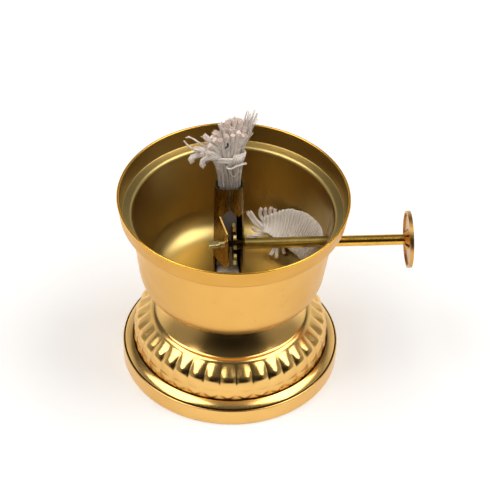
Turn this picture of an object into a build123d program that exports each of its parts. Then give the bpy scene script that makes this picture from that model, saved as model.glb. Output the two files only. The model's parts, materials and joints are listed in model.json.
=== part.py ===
from build123d import *
from math import atan2, cos, degrees, pi, radians, sin, tan
import os

os.makedirs("parts", exist_ok=True)

# Butter lamp with a wick raiser. Millimetres, +Z up, +X towards the knob.
# The origin is on the lamp's axis, on the surface that the foot rests on.

# Foot, one pressed sheet that is open underneath
foot_height = 27.3
foot_sheet = 0.8
hem_width = 2.4
plinth_radius = 33.4
plinth_height = 5.8
bead_width = 3.1
bead_rise = 1.4
bead_crown = 0.2
gadroon_step = 0.7
gadroon_run = 4.7
gadroon_rise = 10.1
gadroon_crown = 1.3
gadroon_count = 36
lobe_inset = 1.5
lobe_gap = 0.28
lobe_lift = 0.2
lobe_tip_radius = 1.5
lobe_tip_inset = 1.2
ridge_width = 1.6
ridge_rise = 0.9
ridge_crown = 0.2
neck_radius = 17.0
neck_hollow = 0.7

# Bowl, one spun sheet
bowl_depth = 35.7
bowl_sheet = 0.8
lip_radius = 35.0
lip_round = 0.3
band_height = 6.3
band_draft = 1.0
ledge_width = 3.0
ledge_drop = 0.7
wall_draft = 3.8
corner_radius = 10.0
ledge_inner_round = 0.8
ledge_outer_round = 1.2

# Fixing between bowl and foot
stud_radius = 2.0
stud_length = 7.5
stud_chamfer = 0.3
stud_clearance = 0.2
washer_radius = 4.5
washer_thickness = 0.8
nut_across_flats = 7.0
nut_thickness = 3.2
thread_clearance = 0.05

# Spindle, feed wheel and knob
spindle_radius = 1.65
spindle_drop = 19.1
spindle_clearance = 0.08
spindle_reach = 54.2
journal_radius = 0.9
rivet_radius = 2.1
rivet_height = 0.6
rivet_taper = 30.0
tip_length = 2.7
tip_width = 2.5
tip_thickness = 1.4
tip_neck = 0.8
tip_droop = 0.3
tip_round = 0.5
tip_ear_gap = 0.3
wheel_radius = 6.5
wheel_thickness = 0.9
wheel_place = 0.4
tooth_count = 12
tooth_depth = 1.5
tooth_tip_width = 0.9
tooth_root_width = 2.3
press_clearance = 0.02
knob_radius = 8.7
knob_sheet = 0.7
knob_rim_width = 0.7
knob_rim_height = 0.5
petal_count = 6
petal_reach = 1.5
petal_height = 1.1
petal_gap = 0.9
petal_taper = 40.0

# Wick holder, one folded sheet
holder_sheet = 0.45
tube_rise = 0.1
tube_width = 8.8
tube_depth = 6.85
tube_corner = 3.0
tube_place = -1.0
seam_gap = 0.5
window_drop = 10.8
window_peak = 3.4
window_width = 5.9
ear_reach = 3.4
ear_top_drop = 15.0
ear_bottom_drop = 9.0
ear_round = 3.4
ear_lean = 27.0
ear_edge_reach = 2.5
skirt_reach = 1.6
skirt_height = 7.0
tab_length = 5.5

# Wick
wick_clearance = 0.3
wick_flat = 1.5
wick_flat_round = 0.7
wick_flat_narrowing = 2.3
wick_low_end = 6.5
wick_down_travel = 5.0
wick_taper = 10.0
wick_taper_gap = 7.8
sleeve_rise = 11.0
sleeve_wall = 1.0
sleeve_spread = 0.6
core_clearance = 0.06
core_depth = 8.0
yarn_radius = 0.95
yarn_root_spread = 0.15
tie_radius = 0.4
tie_turns = 3
tie_pitch = 0.65
tie_clearance = 0.05
tail_radius = 2.1
tail_bend_share = 0.45

# Yarn tips, from the middle of the sleeve's mouth
yarn_tips = [
    (1.2, 0.0, 14.0),
    (-1.1, -1.2, 14.4),
    (3.4, 0.8, 13.3),
    (1.4, 2.8, 12.0),
    (0.6, -3.0, 12.6),
    (3.0, -2.6, 10.4),
    (-3.0, 1.0, 13.0),
    (-5.2, 0.0, 9.6),
    (-8.1, 0.0, 8.0),
    (-12.0, -0.2, 5.6),
    (-11.0, 0.6, 1.9),
    (-8.0, -2.4, 2.3),
    (-4.0, -3.2, 9.0),
    (5.8, 0.3, 16.4),
    (-5.0, -4.4, 5.0),
]

# Route of the wick's tail from the channel round the bowl's front and right side
tail_route = [
    (-0.9, 5.4, 30.5),
    (-1.3, -1.0, 30.5),
    (-0.9, -7.4, 30.5),
    (2.8, -13.5, 30.6),
    (9.3, -16.7, 31.2),
    (16.3, -15.9, 33.2),
    (22.0, -11.6, 36.0),
    (24.4, -4.9, 37.0),
    (23.0, 8.6, 37.2),
    (18.8, 14.8, 36.6),
    (12.8, 17.8, 35.6),
    (6.4, 17.5, 34.6),
]

# Heights and radii that follow from the sizes above
bead_height = plinth_height + bead_rise
bead_radius = plinth_radius - bead_width
gadroon_radius = bead_radius - gadroon_step
gadroon_top = bead_height + gadroon_rise
ridge_radius = gadroon_radius - gadroon_run
neck_foot_radius = ridge_radius - ridge_width
neck_foot_height = gadroon_top + ridge_rise
lip_height = foot_height + bowl_depth
floor_height = foot_height + bowl_sheet
band_radius = lip_radius - band_draft
band_foot_height = lip_height - band_height
ledge_radius = band_radius - ledge_width
ledge_height = band_foot_height - ledge_drop
base_corner_radius = ledge_radius - wall_draft
spindle_height = lip_height - spindle_drop
tube_top = lip_height + tube_rise
tube_back = wheel_radius + wick_clearance + wick_flat + wick_clearance + holder_sheet
tube_middle = tube_back - tube_depth / 2
fold_line = tube_back - tube_corner - (tube_depth - 2 * tube_corner)
window_height = tube_top - window_drop
left_side = tube_place - tube_width / 2
right_side = tube_place + tube_width / 2


def foot_outline(inset, rest_height):
    """Half section of the foot from the axis over the neck and down to rest_height.

    The inside line is the outside line moved in and down by one sheet."""
    top = (0, foot_height - inset)
    neck = (neck_radius - inset, foot_height - inset)
    neck_foot = (neck_foot_radius - inset, neck_foot_height - inset)
    ridge = (ridge_radius - inset, gadroon_top - inset)
    gadroon = (gadroon_radius - inset, bead_height - inset)
    bead = (bead_radius - inset, bead_height - inset)
    plinth = (plinth_radius - inset, plinth_height - inset)
    Line(top, neck)
    SagittaArc(neck, neck_foot, -neck_hollow)
    SagittaArc(neck_foot, ridge, ridge_crown)
    SagittaArc(ridge, gadroon, gadroon_crown)
    Line(gadroon, bead)
    SagittaArc(bead, plinth, bead_crown)
    Polyline(plinth, (plinth_radius - inset, rest_height), (0, rest_height), top)


# One gadroon, a drop shape with its round end at the bottom
lobe_ring_radius = gadroon_radius - lobe_inset
lobe_radius = pi * lobe_ring_radius / gadroon_count - lobe_gap / 2
lobe_centre = Vector(lobe_ring_radius, 0, bead_height + lobe_lift + lobe_radius)
lobe_tip = Vector(ridge_radius - lobe_tip_inset, 0, gadroon_top)
lobe_way = (lobe_tip - lobe_centre).normalized()
lobe_length = (lobe_tip - lobe_centre).length + lobe_radius
lobe_out = Vector(lobe_way.Z, 0, -lobe_way.X)
lobe_plane = Plane(origin=lobe_centre, x_dir=lobe_out, z_dir=lobe_out.cross(lobe_way))

with BuildPart() as lobe:
    with BuildSketch(lobe_plane):
        with BuildLine():
            round_end = CenterArc((0, 0), lobe_radius, -90, 90)
            flank = TangentArc(round_end @ 1, (lobe_tip_radius, lobe_length), tangent=round_end % 1)
            Polyline(flank @ 1, (0, lobe_length), round_end @ 0)
        make_face()
    revolve(axis=Axis(lobe_centre, lobe_way))
    split(bisect_by=Plane.XY.offset(gadroon_top), keep=Keep.BOTTOM)

with BuildPart() as foot:
    with BuildSketch(Plane.XZ):
        with BuildLine():
            foot_outline(inset=0, rest_height=0)
        make_face()
    revolve(axis=Axis.Z)
    with PolarLocations(0, gadroon_count):
        add(lobe.part)
    with BuildSketch(Plane.XZ):
        with BuildLine():
            foot_outline(inset=foot_sheet, rest_height=foot_sheet)
        make_face()
    revolve(axis=Axis.Z, mode=Mode.SUBTRACT)
    with BuildSketch(Plane.XY):
        Circle(plinth_radius - hem_width)
    extrude(amount=foot_sheet, mode=Mode.SUBTRACT)
    with BuildSketch(Plane.XY.offset(foot_height)):
        Circle(stud_radius + stud_clearance)
    extrude(amount=-2 * foot_sheet, mode=Mode.SUBTRACT)
foot.part.label = "foot"
export_step(foot.part, "parts/foot.step")

with BuildPart() as bowl:
    with BuildSketch(Plane.XZ):
        with BuildLine():
            FilletPolyline(
                (0, foot_height),
                (base_corner_radius, foot_height),
                (ledge_radius, ledge_height),
                (band_radius, band_foot_height),
                (lip_radius, lip_height),
                radius=[corner_radius, ledge_inner_round, ledge_outer_round],
            )
            offset(amount=bowl_sheet, side=Side.LEFT)
        make_face()
    revolve(axis=Axis.Z)
    fillet(bowl.edges().filter_by(GeomType.CIRCLE).sort_by(Axis.Z)[-2:], radius=lip_round)
    with BuildSketch(Plane.YZ.offset(lip_radius)):
        with Locations((0, spindle_height)):
            Circle(spindle_radius + spindle_clearance)
    extrude(amount=base_corner_radius - bowl_sheet - lip_radius, mode=Mode.SUBTRACT)
bowl.part.label = "bowl"
export_step(bowl.part, "parts/bowl.step")

# Threaded stud brazed under the bowl, its washer and its nut inside the foot
with BuildPart() as bowl_stud:
    with BuildSketch(Plane.XY.offset(foot_height)):
        Circle(stud_radius)
    extrude(amount=-stud_length)
    chamfer(bowl_stud.edges().sort_by(Axis.Z)[0], length=stud_chamfer)
bowl_stud.part.label = "bowl_stud"
export_step(bowl_stud.part, "parts/bowl_stud.step")

with BuildPart() as stud_washer:
    with BuildSketch(Plane.XY.offset(foot_height - foot_sheet)):
        Circle(washer_radius)
        Circle(stud_radius + stud_clearance, mode=Mode.SUBTRACT)
    extrude(amount=-washer_thickness)
stud_washer.part.label = "stud_washer"
export_step(stud_washer.part, "parts/stud_washer.step")

with BuildPart() as stud_nut:
    with BuildSketch(Plane.XY.offset(foot_height - foot_sheet - washer_thickness)):
        RegularPolygon(nut_across_flats / 2, 6, major_radius=False)
        Circle(stud_radius + thread_clearance, mode=Mode.SUBTRACT)
    extrude(amount=-nut_thickness)
stud_nut.part.label = "stud_nut"
export_step(stud_nut.part, "parts/stud_nut.step")

# Wick holder: a rolled tube, two ears for the spindle, a channel and a soldered tab
ear_bottom = spindle_height - ear_bottom_drop
ear_top = tube_top - ear_top_drop
lean_plane = Plane(
    origin=(left_side, fold_line, 0),
    x_dir=(sin(radians(ear_lean)), -cos(radians(ear_lean)), 0),
    z_dir=(-cos(radians(ear_lean)), -sin(radians(ear_lean)), 0),
)
lean_reach = (fold_line + ear_edge_reach) / cos(radians(ear_lean))

with BuildPart() as wick_holder:
    with BuildSketch(Plane.XY.offset(floor_height)):
        with Locations((tube_place, tube_middle)):
            RectangleRounded(tube_width, tube_depth, tube_corner)
            RectangleRounded(
                tube_width - 2 * holder_sheet,
                tube_depth - 2 * holder_sheet,
                tube_corner - holder_sheet,
                mode=Mode.SUBTRACT,
            )
    extrude(amount=tube_top - floor_height)
    with BuildSketch(Plane.XZ.offset(-fold_line)):
        with BuildLine():
            Polyline(
                (left_side - holder_sheet, floor_height),
                (left_side - holder_sheet, window_height),
                (tube_place - window_width / 2, window_height),
                (tube_place, window_height + window_peak),
                (tube_place + window_width / 2, window_height),
                (right_side + holder_sheet, window_height),
                (right_side + holder_sheet, floor_height),
                close=True,
            )
        make_face()
    extrude(amount=tube_depth, mode=Mode.SUBTRACT)
    with BuildSketch(Plane.XZ.offset(-tube_middle)):
        with Locations((tube_place, tube_top)):
            Rectangle(seam_gap, 2 * window_drop)
    extrude(amount=tube_depth, mode=Mode.SUBTRACT)
    with BuildSketch(Plane.YZ.offset(right_side)):
        with BuildLine():
            Polyline(
                (fold_line + holder_sheet, window_height + holder_sheet),
                (fold_line - holder_sheet, window_height + holder_sheet),
                (-ear_reach, ear_top),
                (-ear_reach, ear_bottom),
                (fold_line + holder_sheet, ear_bottom),
                close=True,
            )
        right_outline = make_face()
        fillet(right_outline.vertices().sort_by(Axis.X)[:2], radius=ear_round)
    extrude(amount=-holder_sheet)
    with BuildSketch(lean_plane):
        with BuildLine():
            Polyline(
                (0, window_height + holder_sheet),
                (tube_corner, window_height + holder_sheet),
                (lean_reach, ear_top),
                (lean_reach, ear_bottom),
                (0, ear_bottom),
                close=True,
            )
        left_outline = make_face()
        fillet(left_outline.vertices().sort_by(Axis.X)[-2:], radius=ear_round)
    extrude(amount=-holder_sheet)
    for skirt_face in (right_side, left_side + holder_sheet):
        with BuildSketch(Plane.YZ.offset(skirt_face)):
            with BuildLine():
                Polyline(
                    (fold_line + holder_sheet, floor_height),
                    (skirt_reach, floor_height),
                    (fold_line - holder_sheet, floor_height + skirt_height),
                    (fold_line + holder_sheet, floor_height + skirt_height),
                    close=True,
                )
            make_face()
        extrude(amount=-holder_sheet)
    with BuildSketch(Plane.XY.offset(floor_height)):
        with Locations((tube_place, tube_back - holder_sheet)):
            Rectangle(tube_width - 2 * tube_corner, 2 * tab_length)
            Rectangle(tube_width, 4 * tab_length, align=(Align.CENTER, Align.MAX), mode=Mode.SUBTRACT)
    extrude(amount=holder_sheet)
    with BuildSketch(Plane.YZ.offset(left_side)):
        with Locations((0, spindle_height)):
            Circle(journal_radius + spindle_clearance)
    extrude(amount=tube_width, mode=Mode.SUBTRACT)
    with BuildSketch(Plane.YZ.offset(right_side)):
        with Locations((0, spindle_height)):
            Circle(spindle_radius + spindle_clearance)
    extrude(amount=-holder_sheet, mode=Mode.SUBTRACT)
wick_holder.part.label = "wick_holder"
export_step(wick_holder.part, "parts/wick_holder.step")

# Spindle: full rod from the wheel to the knob, thin journal in the leaning ear, crimped tip
wheel_face = wheel_place - wheel_thickness / 2
ear_face = left_side + (fold_line - tip_width / 2) * tan(radians(ear_lean))
journal_end = ear_face - tip_ear_gap
tip_root = journal_end - tip_neck
tip_end = tip_root - tip_length

with BuildPart() as spindle:
    with BuildSketch(Plane.YZ.offset(wheel_face)):
        with Locations((0, spindle_height)):
            Circle(spindle_radius)
    extrude(amount=spindle_reach - wheel_face)
    with BuildSketch(Plane.YZ.offset(spindle_reach)):
        with Locations((0, spindle_height)):
            Circle(rivet_radius)
    extrude(amount=rivet_height, taper=rivet_taper)
    with BuildSketch(Plane.YZ.offset(journal_end)):
        with Locations((0, spindle_height)):
            Circle(journal_radius)
    extrude(amount=wheel_face - journal_end)
    with BuildSketch(Plane.YZ.offset(journal_end)):
        with Locations((0, spindle_height)):
            Circle(journal_radius)
    with BuildSketch(Plane.YZ.offset(tip_root)):
        with Locations((0, spindle_height)):
            RectangleRounded(tip_width, tip_thickness, tip_round)
    loft()
    with BuildSketch(Plane.YZ.offset(tip_root)):
        with Locations((0, spindle_height)):
            RectangleRounded(tip_width, tip_thickness, tip_round)
    with BuildSketch(Plane.YZ.offset(tip_end)):
        with Locations((0, spindle_height - tip_droop)):
            RectangleRounded(tip_width, tip_thickness, tip_round)
    loft()
spindle.part.label = "spindle"
export_step(spindle.part, "parts/spindle.step")

# Toothed wheel that bites the wick from the front
with BuildPart() as feed_wheel:
    with BuildSketch(Plane.YZ.offset(wheel_face)):
        with Locations((0, spindle_height)):
            Circle(wheel_radius - tooth_depth)
            with PolarLocations(wheel_radius, tooth_count):
                Trapezoid(
                    tooth_root_width,
                    2 * tooth_depth,
                    degrees(atan2(4 * tooth_depth, tooth_root_width - tooth_tip_width)),
                    rotation=-90,
                    align=(Align.CENTER, Align.MAX),
                )
            Circle(spindle_radius + press_clearance, mode=Mode.SUBTRACT)
    extrude(amount=wheel_thickness)
feed_wheel.part.label = "feed_wheel"
export_step(feed_wheel.part, "parts/feed_wheel.step")

# Knob: a thin disc with a raised rim, held on the rod by a star of bent petals
knob_face = spindle_reach - knob_sheet

with BuildPart() as knob_disc:
    with BuildSketch(Plane.YZ.offset(knob_face)):
        with Locations((0, spindle_height)):
            Circle(knob_radius)
    extrude(amount=knob_sheet)
    with BuildSketch(Plane.YZ.offset(knob_face)):
        with Locations((0, spindle_height)):
            Circle(knob_radius)
            Circle(knob_radius - knob_rim_width, mode=Mode.SUBTRACT)
    extrude(amount=-knob_rim_height)
    with BuildSketch(Plane.YZ.offset(knob_face)):
        with Locations((0, spindle_height)):
            Circle(spindle_radius + petal_reach)
    extrude(amount=-petal_height, taper=petal_taper)
    with BuildSketch(Plane.YZ.offset(knob_face)):
        with Locations((0, spindle_height)):
            with PolarLocations(spindle_radius + petal_reach, petal_count):
                Rectangle(2 * petal_reach, petal_gap)
    extrude(amount=-petal_height, mode=Mode.SUBTRACT)
    with BuildSketch(Plane.YZ.offset(spindle_reach)):
        with Locations((0, spindle_height)):
            Circle(spindle_radius + press_clearance)
    extrude(amount=-knob_sheet - petal_height, mode=Mode.SUBTRACT)
knob_disc.part.label = "knob_disc"
export_step(knob_disc.part, "parts/knob_disc.step")

# Wick: a woven sleeve, flat behind the wheel and full in the tube, with a bore for its core
sleeve_width = tube_width - 2 * holder_sheet - 2 * wick_clearance
sleeve_depth = tube_depth - 2 * holder_sheet - 2 * wick_clearance
sleeve_corner = tube_corner - holder_sheet - wick_clearance
sleeve_top = tube_top + sleeve_rise
sleeve_low = spindle_height + wheel_radius + wick_down_travel + wick_taper_gap
spread_low = tube_top + wick_down_travel + wick_clearance
tie_zone = tie_turns * tie_pitch + tie_clearance
spread_high = sleeve_top - tie_zone
flat_width = tube_width - 2 * holder_sheet - wick_flat_narrowing
flat_middle = tube_back - holder_sheet - wick_clearance - wick_flat / 2
mouth_width = sleeve_width + 2 * sleeve_spread
mouth_depth = sleeve_depth + 2 * sleeve_spread
mouth_corner = sleeve_corner + sleeve_spread

with BuildPart() as wick_sleeve:
    with BuildSketch(Plane.XY.offset(floor_height + wick_low_end)):
        with Locations((tube_place, flat_middle)):
            RectangleRounded(flat_width, wick_flat, wick_flat_round)
    extrude(amount=sleeve_low - wick_taper - floor_height - wick_low_end)
    with BuildSketch(Plane.XY.offset(sleeve_low - wick_taper)):
        with Locations((tube_place, flat_middle)):
            RectangleRounded(flat_width, wick_flat, wick_flat_round)
    with BuildSketch(Plane.XY.offset(sleeve_low)):
        with Locations((tube_place, tube_middle)):
            RectangleRounded(sleeve_width, sleeve_depth, sleeve_corner)
    loft(ruled=True)
    with BuildSketch(Plane.XY.offset(sleeve_low)):
        with Locations((tube_place, tube_middle)):
            RectangleRounded(sleeve_width, sleeve_depth, sleeve_corner)
    extrude(amount=spread_low - sleeve_low)
    with BuildSketch(Plane.XY.offset(spread_low)):
        with Locations((tube_place, tube_middle)):
            RectangleRounded(sleeve_width, sleeve_depth, sleeve_corner)
    with BuildSketch(Plane.XY.offset(spread_high)):
        with Locations((tube_place, tube_middle)):
            RectangleRounded(mouth_width, mouth_depth, mouth_corner)
    loft(ruled=True)
    with BuildSketch(Plane.XY.offset(spread_high)):
        with Locations((tube_place, tube_middle)):
            RectangleRounded(mouth_width, mouth_depth, mouth_corner)
    extrude(amount=tie_zone)
    with BuildSketch(Plane.XY.offset(sleeve_top)):
        with Locations((tube_place, tube_middle)):
            RectangleRounded(
                sleeve_width - 2 * sleeve_wall,
                sleeve_depth - 2 * sleeve_wall,
                sleeve_corner - sleeve_wall,
            )
    extrude(amount=-core_depth, mode=Mode.SUBTRACT)
wick_sleeve.part.label = "wick_sleeve"
export_step(wick_sleeve.part, "parts/wick_sleeve.step")

# Core yarns: one stem in the sleeve's bore that fans out into blunt cut yarns
core_top = sleeve_top + yarn_radius + wick_clearance

with BuildPart() as wick_core:
    with BuildSketch(Plane.XY.offset(sleeve_top - core_depth + core_clearance)):
        with Locations((tube_place, tube_middle)):
            RectangleRounded(
                sleeve_width - 2 * sleeve_wall - 2 * core_clearance,
                sleeve_depth - 2 * sleeve_wall - 2 * core_clearance,
                sleeve_corner - sleeve_wall - core_clearance,
            )
    extrude(amount=core_top - sleeve_top + core_depth - core_clearance)
    for tip_x, tip_y, tip_z in yarn_tips:
        yarn_tip = Vector(tube_place + tip_x, tube_middle + tip_y, sleeve_top + tip_z)
        yarn_root = Vector(
            tube_place + yarn_root_spread * tip_x,
            tube_middle + yarn_root_spread * tip_y,
            core_top,
        )
        with BuildSketch(Plane(origin=yarn_root, z_dir=yarn_tip - yarn_root)):
            Circle(yarn_radius)
        extrude(amount=(yarn_tip - yarn_root).length)
wick_core.part.label = "wick_core"
export_step(wick_core.part, "parts/wick_core.step")

# Tie: turns of thread round the sleeve's mouth
tie_offset = tie_radius + tie_clearance

with BuildPart() as wick_tie:
    for turn in range(tie_turns):
        turn_height = spread_high + tie_clearance + tie_radius + turn * tie_pitch
        with BuildSketch(Plane.XY.offset(turn_height), mode=Mode.PRIVATE) as turn_face:
            with Locations((tube_place, tube_middle)):
                RectangleRounded(
                    mouth_width + 2 * tie_offset,
                    mouth_depth + 2 * tie_offset,
                    mouth_corner + tie_offset,
                )
        turn_path = turn_face.sketch.face().outer_wire()
        with BuildSketch(Plane(origin=turn_path @ 0, z_dir=turn_path % 0)):
            Circle(tie_radius)
        sweep(path=turn_path)
wick_tie.part.label = "wick_tie"
export_step(wick_tie.part, "parts/wick_tie.step")

# Tail of the wick, lying in the bowl
tail_points = [Vector(*point) for point in tail_route]
tail_runs = [after - before for before, after in zip(tail_points, tail_points[1:])]
tail_radii = [
    tail_bend_share * min(run.length, after.length) / tan(radians(run.get_angle(after) / 2))
    for run, after in zip(tail_runs, tail_runs[1:])
]

with BuildPart() as wick_tail:
    with BuildLine():
        tail_line = FilletPolyline(*tail_points, radius=tail_radii)
    with BuildSketch(Plane(origin=tail_points[0], z_dir=tail_runs[0])):
        Circle(tail_radius)
    sweep()
wick_tail.part.label = "wick_tail"
export_step(wick_tail.part, "parts/wick_tail.step")

print("tail bend radii", [round(radius, 1) for radius in tail_radii])
print("tail length", round(tail_line.length, 2))
print("tail volume", round(wick_tail.part.volume, 1))
print("tail section times length", round(pi * tail_radius**2 * tail_line.length, 1))
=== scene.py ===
import cmath
import json
import math
import random
from functools import partial

import bmesh
import bpy
from mathutils import Matrix, Vector


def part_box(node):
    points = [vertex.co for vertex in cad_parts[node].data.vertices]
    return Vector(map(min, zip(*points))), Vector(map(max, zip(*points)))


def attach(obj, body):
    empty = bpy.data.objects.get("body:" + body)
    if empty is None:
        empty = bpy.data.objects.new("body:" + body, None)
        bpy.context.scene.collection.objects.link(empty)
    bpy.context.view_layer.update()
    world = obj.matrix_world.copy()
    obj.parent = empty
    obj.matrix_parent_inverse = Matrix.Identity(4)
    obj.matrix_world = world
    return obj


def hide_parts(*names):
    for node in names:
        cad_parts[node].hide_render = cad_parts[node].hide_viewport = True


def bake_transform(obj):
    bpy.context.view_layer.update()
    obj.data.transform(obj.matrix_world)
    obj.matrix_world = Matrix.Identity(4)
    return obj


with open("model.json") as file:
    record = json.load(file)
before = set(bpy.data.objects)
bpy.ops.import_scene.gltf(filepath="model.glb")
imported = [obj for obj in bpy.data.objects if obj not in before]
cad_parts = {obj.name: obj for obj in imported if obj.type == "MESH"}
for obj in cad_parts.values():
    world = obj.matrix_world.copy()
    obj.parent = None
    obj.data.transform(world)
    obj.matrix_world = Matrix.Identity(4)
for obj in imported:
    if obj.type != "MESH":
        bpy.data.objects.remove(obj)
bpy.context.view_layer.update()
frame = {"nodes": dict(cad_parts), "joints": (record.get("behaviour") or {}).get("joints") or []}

# Butter lamp with a wick raiser. Metres, +Z up, +X towards the knob.
MM = 0.001
nodes = frame["nodes"]
spindle_joint = next(joint for joint in frame["joints"] if joint["name"] == "spindle_turn")
spindle_height = spindle_joint["pos_m"][2]
merge_distance = 0.001 * MM

# Camera, as the photograph was taken, and the square picture that it fills
picture_pixels = 490
focal_pixels = 2477.6
camera_distance = 750 * MM
camera_azimuth = math.radians(-5.0)
camera_elevation = math.radians(41.415)
camera_roll = math.radians(1.784)
aim_right = 3.782 * MM
aim_height = 43.613 * MM
sensor_width = 36.0

# Stage: floor, the sky's brightness by height, and lamps with place, size, power and if metal mirrors them
floor_radius = 6.0
floor_glow = 0.17
sky_levels = [(0.0, 0.5), (0.1, 0.25), (0.25, 0.1), (0.55, 0.07), (0.8, 0.14), (1.0, 0.28)]
lamps = {
    "softbox_left": ((-0.53, -0.06, 0.93), (0.72, 0.6), 5.2, True),
    "softbox_right": ((0.55, -0.06, 0.93), (0.72, 0.6), 5.5, True),
    "front_fill": ((0.0, -0.8, 0.75), (0.9, 0.9), 2.6, False),
}

# Bowl
lip_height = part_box("bowl")[1].z
lip_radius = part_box("bowl")[1].y
bowl_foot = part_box("bowl")[0].z
bowl_sheet = 0.8 * MM
band_height = 6.3 * MM
band_draft = 1.0 * MM
ledge_width = 3.0 * MM
ledge_drop = 0.7 * MM
wall_draft = 3.8 * MM
corner_radius = 10.0 * MM
corner_steps = 14
ledge_inner_round = 0.8 * MM
ledge_outer_round = 1.2 * MM
spindle_hole_radius = 1.73 * MM
bowl_columns = 224

# Foot
foot_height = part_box("foot")[1].z
plinth_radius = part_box("foot")[1].y
foot_sheet = 0.8 * MM
hem_width = 2.4 * MM
plinth_height = 5.8 * MM
plinth_round = 0.35 * MM
bead_width = 3.1 * MM
bead_rise = 1.4 * MM
bead_crown = 0.14 * MM
rim_drop = 0.2 * MM
crease_width = 0.35 * MM
crease_depth = 0.5 * MM
crease_lean = 0.04 * MM
gadroon_step = 0.35 * MM
gadroon_run = 5.05 * MM
gadroon_rise = 10.1 * MM
gadroon_crown = 1.6 * MM
gadroon_shoulder = (4.6 * MM, 4.1 * MM)
gadroon_round = 6.0 * MM
gadroon_count = 36
gadroon_share = 0.97
gadroon_lift = 0.7 * MM
gadroon_toe_lift = 0.16 * MM
ridge_width = 1.6 * MM
ridge_rise = 0.9 * MM
ridge_crown = 0.12 * MM
neck_radius = 17.0 * MM
neck_hollow = 0.7 * MM
foot_columns = gadroon_count * 18
# Parts of a gadroon, as shares of its height from below: round toe, rising middle, and head from above
toe_start, toe_length = 0.04, 0.16
lift_start, lift_length = 0.25, 0.35
head_length = 0.4

# Wick, by the top of the holder's tube and the middle of the sleeve's mouth
tube_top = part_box("wick_holder")[1].z
sleeve_low, sleeve_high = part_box("wick_sleeve")
mouth = Vector(((sleeve_low.x + sleeve_high.x) / 2, (sleeve_low.y + sleeve_high.y) / 2, sleeve_high.z))
yarn_twist = 420.0
golden_angle = 2.39996

# Sleeve: it rises through the channel (y, z and half width in millimetres, and the way across), is flat
# behind the wheel, opens in the tube's throat and ends in a cup; pairs are half width and half depth
lying, rising = Vector((0, 0.5, 0.87)), Vector((0, 0.9, 0.43))
channel_stations = [(5.4, 29.3, 3.4, lying), (6.4, 30.0, 3.3, lying), (7.2, 31.4, 3.1, rising)]
flat_heights = (34.0, 40.0, 46.0, 52.0)
flat_half = (2.75 * MM, 0.75 * MM)
throat_half = (3.2 * MM, 1.8 * MM)
throat_back = 0.9 * MM
throat_height = 58 * MM
sleeve_spread = 0.6 * MM
sleeve_columns = 40
cup_foot = (3.15 * MM, 2.15 * MM)
cup_flare = (1.75 * MM, 0.75 * MM)
cup_bend = 2.2
cup_lean = 0.75 * MM
cup_backing = 0.35 * MM
cup_shares = (-0.1, 0.05, 0.3, 0.6, 0.85, 1.0)
# The cup's threads: how far each can be out of its place, lean, swing and stand out, and their height
thread_count = 46
thread_scatter = 0.45
thread_lean = 0.16
thread_swing = 0.16
thread_stand = 0.1
thread_top, thread_slant = 1.02, 0.05
thread_shares = (-0.06, 0.06, 0.25, 0.5, 0.75, 1.0)

# From here to the fleck, places in millimetres from the middle of the sleeve's mouth
# Loose threads that cross the sleeve
crossing_threads = [
    [(-0.6, -3.0, -3.2), (0.2, -2.8, -5.0), (1.1, -2.6, -6.6), (2.0, -2.5, -5.4), (2.8, -2.4, -4.2)],
    [(-2.6, -2.6, -1.0), (-2.2, -2.7, -3.6), (-2.2, -2.3, -7.4), (-1.8, -2.3, -10.2)],
]
# Tie round the sleeve's mouth: its turns, the fold that is laid over them and the free ends
tie_turns = 4
tie_steps = 16
tie_step = 0.36 * MM
tie_height = 0.2 * MM
tie_slope = 0.06
tie_gap = 0.3 * MM
tie_wobble = 0.1 * MM
tie_drift = 0.15 * MM
fold_path = [(-0.4, -3.2, -0.8), (-0.3, -3.6, 0.4), (0.0, -3.0, 1.6), (0.2, -2.4, 1.9)]
fold_places = [1.0, 1.7, 2.4, 3.0]
tie_ends = [
    [(-1.0, -3.4, -1.4), (-1.6, -3.7, -1.9), (0.0, -3.9, -2.4), (2.0, -3.8, -0.9), (4.8, -3.0, -0.8)],
    [(2.0, -3.0, 1.4), (2.8, -2.6, 2.2), (3.8, -2.0, 2.0)],
]
# Tips of the tuft's yarns
yarn_tips = [
    (-1.0, 0.8, 12.6), (1.3, 1.2, 13.1), (3.1, 0.8, 12.9), (0.3, -1.0, 11.4), (2.0, -0.8, 10.1),
    (0.6, -2.2, 9.6), (3.6, -1.2, 8.7), (-2.9, 1.5, 11.1), (-1.9, 0.2, 10.8), (-5.0, 0.5, 8.8),
    (-8.1, -0.5, 8.1), (-5.0, -1.5, 7.4), (-6.7, -2.2, 5.7), (-3.3, -2.4, 8.1), (-11.0, -1.5, 3.9),
    (-1.5, -2.6, 9.8), (2.3, -2.0, 10.3), (0.0, 2.2, 12.1), (2.3, 2.2, 12.0), (-4.1, 0.2, 8.8),
    (-7.1, 0.4, 5.4), (-7.4, -2.6, 3.2), (-9.3, -1.8, 2.2), (4.2, 0.6, 10.5), (4.6, -0.2, 7.9),
]
# Their roots, as shares of the tip's place and within a reach, and the bend between root and tip
root_share = (0.42, 0.6)
root_reach = (3.4, 2.1)
root_heights = (-4.0, 0.8)
bend_share = (0.6, 0.66, 0.58)
bend_pull = 0.12
# Shorter yarns between them: shares of a tip's place, how far they scatter, and their height
filler_share = (0.7, 0.6)
filler_scatter = (0.8, 0.6)
filler_height = (0.55, 0.95)
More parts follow.
